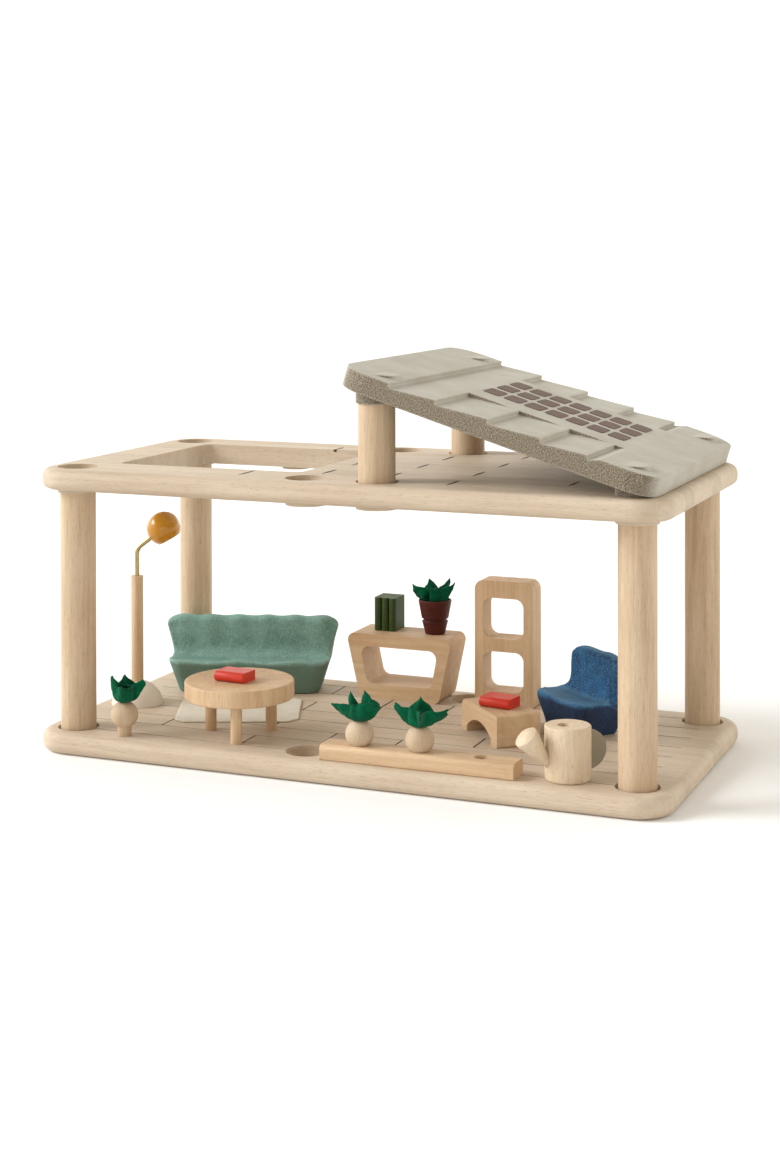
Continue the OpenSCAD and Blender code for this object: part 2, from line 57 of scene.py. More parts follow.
CAMERA_AT = Vector((0.6296, -1.5459, 0.4406))
CAMERA_YAW = 22.189
CAMERA_DOWN = 0.5
CAMERA_ROLL = 0.102
CAMERA_LENS = 60.046
CAMERA_SHIFT = -0.2885
CAMERA_NEAR, CAMERA_FAR = 0.05, 20
KEY_TURN = 202
KEY_RISE = 33
KEY_POWER = 2.7
KEY_SPREAD = 30
KEY_TINT = (0.95, 0.98, 1.03)
HORIZON, ZENITH = 2.1, 0.6  # strength of the sky low down and overhead
HORIZON_UP_TO, ZENITH_FROM = 0.2, 0.8
FRONT_LOSS = (0.42, -0.91, 0)  # how much weaker the sky is towards the front
FILL_TINT = (1.0, 0.958, 0.875)


def link(name, data):
    piece = bpy.data.objects.new(name, data)
    bpy.context.scene.collection.objects.link(piece)
    return piece


def make_camera():
    """The camera at the place and with the lens that the photo was worked out to have."""
    data = bpy.data.cameras.new("camera")
    data.sensor_width = 36
    data.lens = CAMERA_LENS
    data.shift_y = CAMERA_SHIFT
    data.clip_start, data.clip_end = CAMERA_NEAR, CAMERA_FAR
    camera = link("camera", data)
    turn = Matrix.Rotation(math.radians(CAMERA_YAW), 4, "Z")
    tilt = Matrix.Rotation(math.radians(90 - CAMERA_DOWN), 4, "X")
    roll = Matrix.Rotation(math.radians(-CAMERA_ROLL), 4, "Z")
    camera.matrix_world = Matrix.Translation(CAMERA_AT) @ turn @ tilt @ roll
    bpy.context.scene.camera = camera


def make_studio():
    """A warm white sky that is dimmer overhead and in front, and one big soft light from the left."""
    world = bpy.data.worlds.new("studio")
    bpy.context.scene.world = world
    world.use_nodes = True
    tree = world.node_tree

    def join(a, b):
        tree.links.new(a, b)

    sky = tree.nodes["Background"]
    way = tree.nodes.new("ShaderNodeTexCoord").outputs["Generated"]
    height = tree.nodes.new("ShaderNodeSeparateXYZ")
    band = tree.nodes.new("ShaderNodeValToRGB")
    join(way, height.inputs[0])
    join(height.outputs["Z"], band.inputs[0])
    join(band.outputs[0], sky.inputs["Color"])
    low, high = band.color_ramp.elements
    low.position, high.position = HORIZON_UP_TO, ZENITH_FROM
    low.color = (*FILL_TINT, 1)
    high.color = (*(v * ZENITH / HORIZON for v in FILL_TINT), 1)

    front = tree.nodes.new("ShaderNodeVectorMath")
    front.operation = "DOT_PRODUCT"
    front.inputs[1].default_value = FRONT_LOSS
    join(way, front.inputs[0])
    loss = tree.nodes.new("ShaderNodeMath")
    loss.operation = "MAXIMUM"
    loss.inputs[1].default_value = 0.0
    join(front.outputs["Value"], loss.inputs[0])
    power = tree.nodes.new("ShaderNodeMath")
    power.operation = "SUBTRACT"
    power.inputs[0].default_value = HORIZON
    join(loss.outputs[0], power.inputs[1])
    join(power.outputs[0], sky.inputs["Strength"])

    data = bpy.data.lights.new("key", "SUN")
    data.energy = KEY_POWER
    data.angle = math.radians(KEY_SPREAD)
    data.color = KEY_TINT
    turn, rise = math.radians(KEY_TURN), math.radians(KEY_RISE)
    aim = Vector((math.cos(turn), math.sin(turn), math.tan(rise)))
    link("key", data).rotation_euler = (-aim).to_track_quat("-Z", "Y").to_euler()
    bpy.context.scene.view_settings.view_transform = "Standard"


# ---------------------------------------------------------------- colours


def linear(r, g, b):
    """A colour picked in 0 to 255 steps, as the linear values that shaders use."""
    return tuple(((c / 255 + 0.055) / 1.055) ** 2.4 if c > 10 else c / 3294.6 for c in (r, g, b)) + (1.0,)


PORE = linear(140, 108, 78)
# the colour of the painted shade in the grooves and slots of the decks
GROOVE_SHADE = linear(72, 53, 38)
DECK_PALE, DECK_DARK = linear(204, 188, 166), linear(188, 168, 145)
POST_PALE, POST_DARK = linear(203, 182, 154), linear(181, 152, 121)
BLOCK_PALE, BLOCK_DARK = linear(208, 180, 146), linear(188, 153, 116)
CREAM_PALE, CREAM_DARK = linear(198, 178, 151), linear(181, 155, 125)
# a brighter copy of the pale wood for the watering can: painted light, for how brightly the can is lit
CAN_LIT_PALE, CAN_LIT_DARK = linear(215, 199, 174), linear(201, 178, 148)
# the last of these is the colour of a painted highlight on the board's edges
ROOF_PALE, ROOF_DARK, ROOF_EDGE_HIGHLIGHT = linear(181, 178, 168), linear(172, 166, 153), linear(204, 199, 186)
CUT_PALE, CUT_MIDDLE, CUT_DARK = linear(154, 144, 126), linear(118, 107, 91), linear(84, 73, 59)
BRASS_PALE, BRASS_DARK = linear(192, 174, 128), linear(166, 148, 102)
PAPER_PALE, PAPER_DARK = (0.92, 0.92, 0.92, 1), (0.9, 0.9, 0.9, 1)


# ---------------------------------------------------------------- shader building


class Finish:
    """A material being built: its Principled shader and what feeds it."""

    def __init__(self, name, roughness, **fixed):
        self.material = bpy.data.materials.new(name)
        self.material.use_nodes = True
        self.tree = self.material.node_tree
        self.bsdf = self.tree.nodes["Principled BSDF"]
        self.bsdf.inputs["Roughness"].default_value = roughness
        for socket, value in fixed.items():
            self.bsdf.inputs[socket.replace("_", " ")].default_value = value
        seen = self.tree.nodes.new("ShaderNodeTexCoord").outputs
        self.place, self.facing = seen["Object"], seen["Normal"]

    def node(self, kind, settings=None, **inputs):
        """A new node; each input is a socket to join to it or a value to set."""
        made = self.tree.nodes.new("ShaderNode" + kind)
        for key, value in (settings or {}).items():
            setattr(made, key, value)
        for key, value in inputs.items():
            socket = made.inputs[key.replace("_", " ")]
            if isinstance(value, bpy.types.NodeSocket):
                self.tree.links.new(value, socket)
            else:
                socket.default_value = value
        return made

    def stretched(self, scale, turn=0.0):
        """Object coordinates turned about Z by turn degrees, then scaled."""
        turned = self.node("Mapping", Vector=self.place, Rotation=(0, 0, math.radians(turn)))
        return self.node("Mapping", Vector=turned.outputs[0], Scale=scale).outputs[0]

    def noise(self, vector, scale, detail, rough=0.5, warp=0.0):
        made = self.node("TexNoise", Vector=vector, Scale=scale, Detail=detail,
                         Roughness=rough, Distortion=warp)
        return made.outputs["Fac"]

    def ramp(self, fac, *stops):
        """Colour by position; each stop is (position, colour or grey value)."""
        made = self.node("ValToRGB", Fac=fac)
        stops = [(p, (c, c, c, 1) if isinstance(c, (int, float)) else c) for p, c in stops]
        band = made.color_ramp.elements
        while len(band) < len(stops):
            band.new(0.5)
        for element, (position, colour) in zip(band, stops):
            element.position = position
            element.color = colour
        return made.outputs["Color"]

    def mix(self, fac, a, b, how="MIX"):
        made = self.tree.nodes.new("ShaderNodeMix")
        made.data_type = "RGBA"
        made.blend_type = how
        for index, value in ((0, fac), (6, a), (7, b)):
            if isinstance(value, bpy.types.NodeSocket):
                self.tree.links.new(value, made.inputs[index])
            else:
                made.inputs[index].default_value = value
        return made.outputs[2]

    def maths(self, how, a, b):
        made = self.node("Math", {"operation": how})
        for index, value in ((0, a), (1, b)):
            if isinstance(value, bpy.types.NodeSocket):
                self.tree.links.new(value, made.inputs[index])
            else:
                made.inputs[index].default_value = value
        return made.outputs[0]

    def times(self, a, b):
        return self.maths("MULTIPLY", a, b)

    def size(self, a):
        return self.maths("ABSOLUTE", a, 0.0)

    def within(self, a, b, margin):
        """1 where a is no further than margin from b, 0 elsewhere."""
        near = self.maths("COMPARE", a, b)
        near.node.inputs[2].default_value = margin
        return near

    def split(self, vector):
        parts = self.node("SeparateXYZ", Vector=vector).outputs
        return parts["X"], parts["Y"], parts["Z"]

    def colour(self, socket):
        self.tree.links.new(socket, self.bsdf.inputs["Base Color"])

    def rough(self, socket):
        self.tree.links.new(socket, self.bsdf.inputs["Roughness"])

    def bump(self, height, distance, strength=1.0):
        made = self.node("Bump", Height=height, Distance=distance, Strength=strength)
        self.tree.links.new(made.outputs[0], self.bsdf.inputs["Normal"])


def wood(name, grain, pale, dark, turn=0.0, streak=0.5, planked=None):
    """Light hardwood: tonal bands, fibres and short pores, all drawn out along one axis."""
    made = Finish(name, 0.55, Specular_IOR_Level=0.3)
    shift = None if planked is None else plank_number(made)

    def drawn(k):
        """Coordinates in which noise looks 1 / k times as long along the grain."""
        vector = made.stretched([k if axis == grain else 1.0 for axis in "XYZ"], turn)
        if shift is not None:
            vector = made.node("VectorMath", {"operation": "ADD"}, Vector=vector).outputs[0]
            offset = made.node("CombineXYZ", X=shift, Y=shift, Z=shift).outputs[0]
            made.tree.links.new(offset, vector.node.inputs[1])
        return vector

    bands = made.noise(drawn(0.05), scale=170, detail=3, rough=0.55, warp=0.5)
    clouds = made.noise(drawn(0.35), scale=24, detail=2)
    tone = made.mix(0.45, bands, clouds)
    body = made.ramp(tone, (0.34, dark), (0.64, pale))
    fibre = made.noise(drawn(0.03), scale=1500, detail=3, rough=0.65)
    body = made.mix(streak, body, made.ramp(fibre, (0.3, 0.76), (0.7, 1.1)), "MULTIPLY")
    pores = made.noise(drawn(0.07), scale=2000, detail=1)
    dashes = made.ramp(pores, (0.63, 0.0), (0.70, 1.0))
    body = made.mix(made.times(dashes, 0.4), body, PORE)
    if shift is not None:
        body = made.mix(1.0, body, made.ramp(shift, (0.0, 0.93), (1.0, 1.04)), "MULTIPLY")
        # painted shade in the grooves between the planks
        body = made.mix(groove_shade_mask(made, planked), body, GROOVE_SHADE)
        # the slots of the upper deck, painted dark as their shade
        if planked == UPPER_TOP:
            body = made.mix(slot_shade_mask(made), body, GROOVE_SHADE)
    made.colour(body)
    made.rough(made.ramp(fibre, (0.2, 0.66), (0.8, 0.5)))
    made.bump(made.maths("SUBTRACT", fibre, made.times(dashes, 0.6)), 0.05 * MM)
    return made.material


END_GROOVE, BASE_GROOVE, UPPER_GROOVE = 0.95, 0.5, 0.1  # how dark the painted shade in a groove is at plank ends and along planks


def plank_rows(made):
    """The place along x and y, the row of planks there, and 1 on the odd rows."""
    x, y, _ = made.split(made.place)
    row = made.maths("FLOOR", made.maths("ADD", made.maths("DIVIDE", y, PLANK_W * MM), 0.5), 0.0)
    return x, y, row, made.size(made.maths("MODULO", row, 2.0))


def by_row(made, odd, in_odd, in_even):
    """One value on the odd rows and another on the even ones."""
    return made.maths("ADD", made.times(in_odd, odd), made.times(in_even, made.maths("SUBTRACT", 1.0, odd)))


def plank_number(made):
    """A different number from 0 to 1 for each plank between the grooves."""
    x, y, row, odd = plank_rows(made)

    def passed(places):
        total = 0.0
        for at in places:
            total = made.maths("ADD", made.maths("GREATER_THAN", x, at * MM), total)
        return total

    inner = made.maths("LESS_THAN", made.size(y), PLANKS_HALF * MM)
    part = made.times(by_row(made, odd, passed(ODD_ENDS), passed(EVEN_ENDS)), inner)
    place = made.node("CombineXYZ", X=made.times(row, inner), Y=part, Z=0.0).outputs[0]
    return made.node("TexWhiteNoise", {"noise_dimensions": "3D"}, Vector=place).outputs["Value"]


def slot_shade_mask(made):
    """1 on the short slots where two planks of the upper deck meet end to end, painted dark as their shade.
    """
    x, y, row, odd = plank_rows(made)

    def close_to(places):
        found = 0.0
        for at in places:
            found = made.maths("MAXIMUM", made.within(x, at * MM, SLOT_HALF_X * MM), found)
        return found

    ends = by_row(made, odd, close_to(ODD_ENDS), close_to(EVEN_ENDS))
    off_centre = made.size(made.maths("SUBTRACT", y, made.times(row, PLANK_W * MM)))
    short = made.maths("LESS_THAN", off_centre, SLOT_HALF_Y * MM)
    inner = made.maths("LESS_THAN", made.size(y), SLOTS_HALF * MM)
    high = made.maths("GREATER_THAN", made.split(made.place)[2], (UPPER_TOP - SLOT_DEEP) * MM)
    return made.times(made.times(ends, short), made.times(inner, high))


def groove_shade_mask(made, top):
    """Painted shade on the groove walls: strong on the grooves across the plank ends, weak on those along the
    planks, 0 elsewhere.
    """
    facing_x, _, facing_z = made.split(made.facing)
    height = made.split(made.place)[2]
    across = made.maths("GREATER_THAN", made.size(facing_x), 0.4)
    near = made.within(height, (top - GROOVE_DEEP) * MM, GROOVE_HALF * MM)
    sloping = made.within(facing_z, 0.55, 0.25)
    along = BASE_GROOVE if top == BASE_TOP else UPPER_GROOVE
    strength = made.maths("ADD", made.times(across, END_GROOVE - along), along)
    return made.times(made.times(near, sloping), strength)


def rim_highlight_and_wear(made, low, high):
    """0 on flats and in hollows, 1 on outer edges, where handling wears a moulded skin pale and where a
    highlight is painted on the rounded rims.
    """
    return made.ramp(made.node("NewGeometry").outputs["Pointiness"], (low, 0.0), (high, 1.0))


def moulded(name, colour, speck_and_highlight, deep, scale, below=None, low=None, painted_top_light=0.0):
    """Moulded wood-fibre composite: clouded colour, pale specks, rims paled by wear and a painted highlight,
    and a pitted skin.

    It turns to the low colour under a height, and paler on its upward faces by the given amount, as a painted
    highlight from above."""
    made = Finish(name, 0.8, Specular_IOR_Level=0.3)
    clouds = made.noise(made.place, scale=55, detail=4, rough=0.6, warp=0.3)
    body = made.ramp(clouds, (0.34, deep), (0.62, colour))
    grains = made.noise(made.place, scale=scale, detail=4, rough=0.7)
    body = made.mix(made.ramp(grains, (0.48, 0.0), (0.68, 0.65)), body, speck_and_highlight)
    # painted highlight: upward faces paler, as where light falls from above
    upward = made.ramp(made.split(made.facing)[2], (0.7, 0.0), (0.95, painted_top_light))
    body = made.mix(upward, body, speck_and_highlight)
    if below is not None:
        wavy = made.maths("ADD", made.split(made.place)[2], made.times(clouds, 2 * MM))
        part = made.node("MapRange", Value=wavy, From_Min=(below + 1) * MM, From_Max=(below - 2.5) * MM)
        body = made.mix(part.outputs[0], body, made.mix(0.8, body, low))
    # rims paled by wear and by a painted highlight, in the speck colour
    made.colour(made.mix(made.times(rim_highlight_and_wear(made, 0.51, 0.56), 0.5), body, speck_and_highlight))
    pits = made.noise(made.place, scale=scale * 0.6, detail=4, rough=0.7)
    made.bump(made.maths("ADD", pits, clouds), 0.3 * MM, 0.7)
    return made.material


def roof_composite():
    """Grey-beige composite: smooth on the moulded face, darker and speckled where the board was cut."""
    made = Finish("roof_composite", 0.75, Specular_IOR_Level=0.3)
    tilt = made.node("Mapping", Vector=made.facing, Rotation=(0, math.radians(-ROOF_PITCH), 0))
    _, sideways, outward = made.split(tilt.outputs[0])
    on_cut = made.ramp(made.maths("MAXIMUM", made.size(sideways), made.times(outward, -1.0)),
                       (0.35, 0.0), (0.75, 1.0))
    clouds = made.noise(made.place, scale=30, detail=4, rough=0.6)
    fine = made.noise(made.place, scale=1000, detail=2, rough=0.6)
    face = made.ramp(clouds, (0.35, ROOF_DARK), (0.65, ROOF_PALE))
    face = made.mix(0.25, face, made.ramp(fine, (0.35, 0.85), (0.65, 1.08)), "MULTIPLY")
    grains = made.noise(made.place, scale=1000, detail=3, rough=0.75)
    cut = made.ramp(grains, (0.4, CUT_DARK), (0.5, CUT_MIDDLE), (0.6, CUT_PALE))
    # pale board edges: a painted highlight on the rounded rims
    made.colour(made.mix(made.times(rim_highlight_and_wear(made, 0.51, 0.57), 0.35), made.mix(on_cut, face, cut), ROOF_EDGE_HIGHLIGHT))
    made.bump(made.mix(on_cut, made.times(fine, 0.3), grains), 0.12 * MM, 0.7)
    return made.material


def painted(name, colour, shade, roughness, coat=0.0):
    """Paint or stain on wood: the colour shifts a little along the grain, which shows through."""
    made = Finish(name, roughness, Specular_IOR_Level=0.25, Coat_Weight=coat, Coat_Roughness=0.12)
    grain = made.noise(made.stretched((0.12, 1.0, 1.0)), scale=700, detail=3, rough=0.6)
    clouds = made.noise(made.place, scale=60, detail=3)
    made.colour(made.ramp(made.mix(0.5, grain, clouds), (0.34, shade), (0.64, colour)))
    made.rough(made.ramp(clouds, (0.3, roughness - 0.05), (0.7, roughness + 0.08)))
    made.bump(grain, 0.04 * MM)
    return made.material


def felt(name, colour, shade):
    """Pressed wool: matted fibres, a soft sheen and no gloss."""
    made = Finish(name, 0.95, Specular_IOR_Level=0.1, Sheen_Weight=0.04, Sheen_Roughness=0.5)
    mat = made.noise(made.place, scale=900, detail=4, rough=0.75, warp=1.5)
    clouds = made.noise(made.place, scale=90, detail=3)
    made.colour(made.ramp(made.mix(0.35, mat, clouds), (0.36, shade), (0.62, colour)))
    made.bump(mat, 0.35 * MM, 0.9)
    return made.material


def brushed_brass():
    """Drawn brass with fine rub marks along the rod."""
    made = Finish("brass_rod", 0.3, Metallic=1.0)
    rub = made.noise(made.stretched((1, 1, 0.1)), scale=900, detail=2)
    made.colour(made.ramp(rub, (0.3, BRASS_DARK), (0.7, BRASS_PALE)))
    made.rough(made.ramp(rub, (0.3, 0.24), (0.7, 0.36)))
    return made.material


# ---------------------------------------------------------------- shape building


def mesh_of(name, points, faces):
    mesh = bpy.data.meshes.new(name)
    mesh.from_pydata([tuple(p) for p in points], [], [tuple(f) for f in faces])
    mesh.validate()
    return mesh


def add_piece(name, mesh, body, finish, stands_for):
    """Shows a mesh in place of the CAD nodes it stands for."""
    mesh.shade_smooth()
    piece = link(name, mesh)
    mesh.materials.clear()
    mesh.materials.append(finishes[finish])
    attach(piece, body)
    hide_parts(*stands_for)
    return piece


def placed(at, turn):
    """The matrix that turns a shape about its own upright axis and sets it down at a point."""
    return Matrix.Translation(Vector(at) * MM) @ Matrix.Rotation(math.radians(turn), 4, "Z")


def ring_faces(rows, across):
    """Faces of a grid of points, each row closed on itself."""
    faces = []
    for i in range(rows - 1):
        for j in range(across):
            k = (j + 1) % across
            faces.append((i * across + j, i * across + k, (i + 1) * across + k, (i + 1) * across + j))
    return faces


def closed_faces(rows, across):
    """The same grid with its first and last rows closed by one face each."""
    first = tuple(range(across))[::-1]
    last = tuple((rows - 1) * across + k for k in range(across))
    return ring_faces(rows, across) + [first, last]


def rounded(corners, radii, steps=6):
    """A closed outline whose corners are drawn as arcs of the given radii."""
    outline = []
    count = len(corners)
    for i, radius in enumerate(radii):
        here = np.array(corners[i], float)
        before = np.array(corners[i - 1], float) - here
        after = np.array(corners[(i + 1) % count], float) - here
        before /= np.linalg.norm(before)
        after /= np.linalg.norm(after)
        half = math.acos(float(np.clip(before @ after, -1, 1))) / 2
        middle = (before + after) / np.linalg.norm(before + after)
        centre = here + middle * radius / math.sin(half)
        first = here + before * radius / math.tan(half) - centre
        last = here + after * radius / math.tan(half) - centre
        sweep = math.pi - 2 * half
        for k in range(steps + 1):
            t = k / steps
            arc = first * math.sin((1 - t) * sweep) + last * math.sin(t * sweep)
            outline.append(centre + arc / math.sin(sweep))
    return np.array(outline)


def spread(outline, spacing):
    """The same closed outline with points about every spacing."""
    ring = np.vstack([outline, outline[:1]])
    far = np.concatenate([[0], np.cumsum(np.linalg.norm(np.diff(ring, axis=0), axis=1))])
    count = max(8, int(round(far[-1] / spacing)))
    want = np.arange(count) * far[-1] / count
    return np.stack([np.interp(want, far, ring[:, axis]) for axis in range(ring.shape[1])], 1)


def lathe(profile, at, turns):
    """An open profile of (radius, height), closed at its ends, turned about the upright axis at a point."""
    angles = np.arange(turns) * 2 * math.pi / turns
    rows = [np.stack([r * np.cos(angles), r * np.sin(angles), np.full(turns, h)], 1) for r, h in profile]
    return np.vstack(rows) * MM + np.array(at) * MM, closed_faces(len(profile), turns)


def add_melt(piece, voxel, rounds):
    """Modifiers that rebuild a closed shape in even facets and smooth it, so that every edge turns soft."""
    remesh = piece.modifiers.new("remesh", "REMESH")
    remesh.mode = "VOXEL"
    remesh.voxel_size = voxel
    smooth = piece.modifiers.new("smooth", "SMOOTH")
    smooth.factor = 0.5
    smooth.iterations = rounds
    return remesh


def melted(name, points, faces, voxel, rounds):
    """The mesh of a closed shape after add_melt."""
    rough = link(name + "_rough", mesh_of(name + "_rough", points, faces))
    add_melt(rough, voxel, rounds)
    seen = rough.evaluated_get(bpy.context.evaluated_depsgraph_get())
    mesh = bpy.data.meshes.new_from_object(seen)
    mesh.name = name
    bpy.data.objects.remove(rough)
    return mesh


def read_each(mesh, what):
    """One vector of each vertex: its place, co, or its normal."""
    values = np.empty(len(mesh.vertices) * 3)
    mesh.vertices.foreach_get(what, values)
    return values.reshape(-1, 3)


def write_points(mesh, points):
    mesh.vertices.foreach_set("co", points.reshape(-1))
    mesh.update()


def lumps(points, scale, seed):
    """Smooth noise from about -1 to 1 at each point."""
    shift = Vector((seed * 17.3, seed * 5.1, seed * 9.7))
    return np.array([noise.noise(Vector(p) * scale + shift) for p in points])


def bump_step(x, low, high):
    """0 below low, 1 above high, smooth between."""
    t = np.clip((x - low) / (high - low), 0, 1)
    return t * t * (3 - 2 * t)


# ---------------------------------------------------------------- moulded seats


CREST_GAP = 26.0  # from one wave of the crest to the next
END_R, END_STEPS = 13.0, 9  # radius of the rounded ends, and sections along each
SECTION_DEPTHS = (6, 0, 35.5, 37.5, 50, 53, 47)  # foot, lip, and up, over and down the back
SECTION_RADII = (2, 2.5, 9, 5, 6, 25, 2)
SEAT_DIP, SEAT_SAG = 1.5, 1.2  # how far the seat drops towards the back, and in its middle
RIM_UP, RIM_OUT = 0.7, 0.8
SEAT_VOXEL, SEAT_ROUNDS = 1.1, 8


def seat_points(base, lip, waist, crown, lip_z, crown_z):
    """Sections across a moulded seat, from end to end, front lip at y 0, standing on z 0.

    The half widths are those at the foot, the lip, and the foot and top of the back."""
    heights = (0, lip_z, lip_z - SEAT_DIP, crown_z, crown_z, lip_z, 0)
    section = spread(rounded(list(zip(SECTION_DEPTHS, heights)), SECTION_RADII), 1.6)
    depth, height = section[:, 0], section[:, 1]
    low = base + (lip - base) * np.clip(height / lip_z, 0, 1)
    high = waist + (crown - waist) * np.clip((height - lip_z) / (crown_z - lip_z - 8), 0, 1)
    backness = bump_step(depth, 28, 36)
    half = low + (high - low) * np.where(height > lip_z - 2, backness, 0)
    frontness = 1 - bump_step(depth, 4, 24)
    rows = []
    for a in np.linspace(-1, 1, 2 * int(lip / 2.2) + 1):
        rows.append(np.stack([a * (half - END_R), depth, height], 1))
    for k in range(1, END_STEPS + 1):
        turn = math.radians(k * 90 / END_STEPS)
        x = half - END_R + END_R * math.sin(turn)
        pull = END_R * (1 - math.cos(turn))
        y = depth + pull * frontness - pull * 0.45 * bump_step(depth, 40, 50)
        z = height - pull * 0.55 * bump_step(height, crown_z - 9, crown_z)
        rows.append(np.stack([x, y, z], 1))
        rows.insert(0, np.stack([-x, y, z], 1))
    return np.array(rows)


def add_seat(name, at, turn, sizes, finish, seed, wave=0.55, lean=0.0):
    """A moulded seat with a waved crest, a sagging seat and a hand-shaped front rim."""
    _, lip, _, crown, lip_z, crown_z = sizes
    rows = seat_points(*sizes)
    faces = closed_faces(len(rows), rows.shape[1])
    mesh = melted(name, rows.reshape(-1, 3) * MM, faces, SEAT_VOXEL * MM, SEAT_ROUNDS)
    points = read_each(mesh, "co") / MM
    normals = read_each(mesh, "normal")
    x, y, z = points.T
    crest = np.cos((x - CREST_GAP / 2) * 2 * math.pi / CREST_GAP)
    inside = 1 - bump_step(np.abs(x), crown - 9, crown)
    top = bump_step(z, crown_z - 16, crown_z - 2)
    facing = bump_step(-normals[:, 1], 0.2, 0.8) * bump_step(z, lip_z + 3, lip_z + 14)
    # the waves, and the back's upright edge leaned to one side
    z = z + wave * crest * top * inside
    y = y - 0.7 * wave * crest * facing * inside
    x = x + lean * bump_step(z, lip_z, lip_z + 12) * bump_step(y, 26, 34)
    # the sagging middle of the seat
    seat = bump_step(normals[:, 2], 0.5, 0.9) * (1 - bump_step(z, lip_z + 2, lip_z + 8))
    middle = bump_step(y, 3, 12) * (1 - bump_step(y, 26, 36))
    z = z - SEAT_SAG * seat * middle * (1 - bump_step(np.abs(x), lip - 22, lip - 4))
    # the uneven rim
    rim = bump_step(z, lip_z - 9, lip_z - 1) * (1 - bump_step(y, 3, 10))
    z = z + RIM_UP * rim * np.cos(x * math.pi / CREST_GAP + seed)
    y = y + RIM_OUT * rim * np.sin(x * math.pi / CREST_GAP * 0.9 + 2 * seed)
    # a skin that is nowhere quite flat, except under the foot
    points = np.stack([x, y, z], 1)
    rough = 0.28 * lumps(points, 0.11, seed) + 0.12 * lumps(points, 0.35, seed + 3)
    above = bump_step(points[:, 2], 0.5, 4)
    points = points + normals * (rough * above)[:, None]
    points[:, 2] = np.maximum(points[:, 2], 0.0)
    write_points(mesh, points * MM)
    mesh.transform(placed(at, turn))
    add_piece(name + "_moulded", mesh, name, finish, [name])


# ---------------------------------------------------------------- felt


def toward(azimuth, rise):
    """The direction at an azimuth and a rise above level, in degrees."""
    a, e = math.radians(azimuth), math.radians(rise)
    return np.array([math.cos(a) * math.cos(e), math.sin(a) * math.cos(e), math.sin(e)])


def arc_between(a, b):
    """The angle between two directions."""
    return math.acos(float(np.clip(a @ b, -1, 1)))


def fold_between(a, b, way):
    """A direction between two corners, moved up or down until the felt there is as long as it was flat."""
    middle = (a + b) / np.linalg.norm(a + b)
    side = np.cross(a, b)
    side = side / np.linalg.norm(side)
    if side[2] * way < 0:
        side = -side
    low, high = 0.0, 1.2
    for _ in range(30):
        lean = (low + high) / 2
        fold = middle * math.cos(lean) + side * math.sin(lean)
        if arc_between(a, fold) + arc_between(fold, b) < math.pi / 2:
            low = lean
        else:
            high = lean
    return fold


FELT_THICK, FELT_EDGE, FELT_CELLS = 1.7, 0.55, 40  # thickness, the part of it left at the cut edge, grid
PLEATS, PLEAT_DEEP, CREASE_DEEP, WOBBLE_DEEP = 7, 1.2, 1.5, 0.8


def padded(grid):
    """Points and faces of a closed skin round a square grid of points, half the felt's thickness from it."""
    cells = len(grid)
    normal = np.cross(np.gradient(grid, axis=0), np.gradient(grid, axis=1))
    normal /= np.maximum(1e-9, np.linalg.norm(normal, axis=2, keepdims=True))
    edge = np.minimum.reduce([np.arange(cells), np.arange(cells)[::-1]])
    edge = np.minimum(edge[:, None], edge[None, :])
    thin = np.where(edge == 0, FELT_EDGE, 1.0)[:, :, None] * FELT_THICK / 2
    points = np.vstack([(grid + normal * thin).reshape(-1, 3), (grid - normal * thin).reshape(-1, 3)])
    count = cells * cells
    faces = []
    for i in range(cells - 1):
        for j in range(cells - 1):
            a, b = i * cells + j, i * cells + j + 1
            c, d = b + cells, a + cells
            faces += [(a, d, c, b), (count + a, count + b, count + c, count + d)]
    loop = list(range(cells)) + [i * cells + cells - 1 for i in range(1, cells)]
    loop += [(cells - 1) * cells + j for j in range(cells - 2, -1, -1)]
    loop += [i * cells for i in range(cells - 2, 0, -1)]
    for a, b in zip(loop, loop[1:] + loop[:1]):
        faces.append((a, b, count + b, count + a))
    return points, faces


